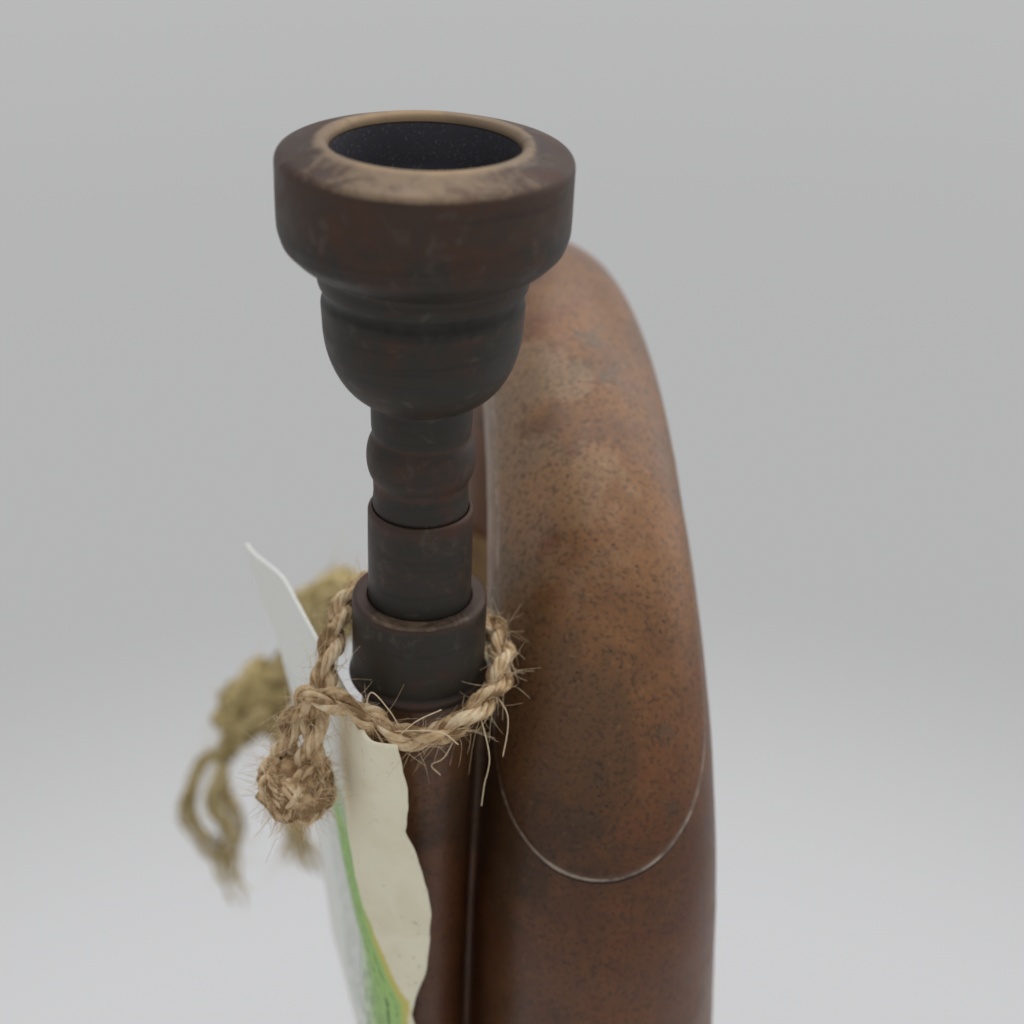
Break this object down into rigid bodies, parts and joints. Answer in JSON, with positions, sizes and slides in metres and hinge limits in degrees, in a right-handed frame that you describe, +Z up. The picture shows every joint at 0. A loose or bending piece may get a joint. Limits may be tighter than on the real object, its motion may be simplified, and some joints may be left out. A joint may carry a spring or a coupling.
{
  "type": "bugle",
  "caption": "Single-coil copper bugle standing on its flared bell, with a turned cup mouthpiece, a soldered bow guard, a frayed cord and a paper tag on twine.",
  "frame": {"origin": "centre of the bell's mouth, on the plane that the rim rests on", "axes": "+Z up the bell's axis, +Y from the bell branch towards the return tube, +X to the right seen from the mouthpipe's side"},
  "size_m": [0.1361, 0.1746, 0.4177],
  "materials": {
    "copper": "dull brown patina on copper, worn and pitted",
    "dark_brass": "nearly black patina, worn to brass on the rim",
    "brass": "dull aged brass",
    "shoulder_cord": "faded olive-gold braided wool cord",
    "jute_twine": "hairy two-ply jute",
    "tag_card": "cream card with a green printed field"
  },
  "bodies": {
    "bugle": {"receiver_collar": "dark_brass", "mouthpipe": "copper", "mouthpipe_ferrule": "brass", "lower_bow": "copper", "lower_bow_ferrule": "brass", "return_tube": "copper", "upper_bow_ferrule": "brass", "upper_bow": "copper", "bow_guard": "copper", "bell": "copper", "bell_garland": "brass", "rim_wire": "brass", "upper_stay_rod": "brass", "upper_stay_feet": "brass", "lower_stay_rod": "brass", "lower_stay_feet": "brass", "mouthpipe_saddles": "brass", "upper_ring_eye": "brass", "lower_ring_eye": "brass", "cord_wraps": "shoulder_cord", "cord_knot": "shoulder_cord", "cord_bight": "shoulder_cord"},
    "tuning_shank": {"tuning_shank": "dark_brass"},
    "mouthpiece": {"mouthpiece": "dark_brass"},
    "upper_ring": {"upper_cord_ring": "brass"},
    "lower_ring": {"lower_cord_ring": "brass"},
    "long_fringe": {"long_fringe": "shoulder_cord"},
    "short_fringe": {"short_fringe": "shoulder_cord"},
    "twine": {"twine_loop": "jute_twine"},
    "tag": {"twine_knot": "jute_twine", "price_tag": "tag_card"}
  },
  "joints": [
    {"name": "tuning_slide", "type": "slide", "parent": "bugle", "child": "tuning_shank", "axis": [0.0419, 0, 0.9991], "range_m": [0, 0.014]},
    {"name": "mouthpiece_lift", "type": "slide", "parent": "tuning_shank", "child": "mouthpiece", "axis": [0.0419, 0, 0.9991], "range_m": [0, 0.03]},
    {"name": "upper_ring_swing", "type": "hinge", "parent": "bugle", "child": "upper_ring", "pos_m": [-0.01982, 0.1, 0.238], "axis": [0, 1, 0], "range_deg": [0, 110]},
    {"name": "lower_ring_swing", "type": "hinge", "parent": "bugle", "child": "lower_ring", "pos_m": [-0.01948, 0.1, 0.184], "axis": [0, 1, 0], "range_deg": [0, 110]},
    {"name": "long_fringe_sway", "type": "hinge", "parent": "bugle", "child": "long_fringe", "pos_m": [-0.0669, 0.098, 0.2647], "axis": [0, 1, 0], "range_deg": [-12, 12]},
    {"name": "short_fringe_sway", "type": "hinge", "parent": "bugle", "child": "short_fringe", "pos_m": [-0.0547, 0.098, 0.2704], "axis": [0, 1, 0], "range_deg": [-10, 12]},
    {"name": "twine_swivel", "type": "hinge", "parent": "bugle", "child": "twine", "pos_m": [-0.0198, -0.002, 0.36051], "axis": [0.0419, 0, 0.9991], "range_deg": [-15, 15]},
    {"name": "tag_flap", "type": "hinge", "parent": "twine", "child": "tag", "pos_m": [-0.02889, -0.002, 0.36089], "axis": [0, 1, 0], "range_deg": [0, 30]}
  ]
}
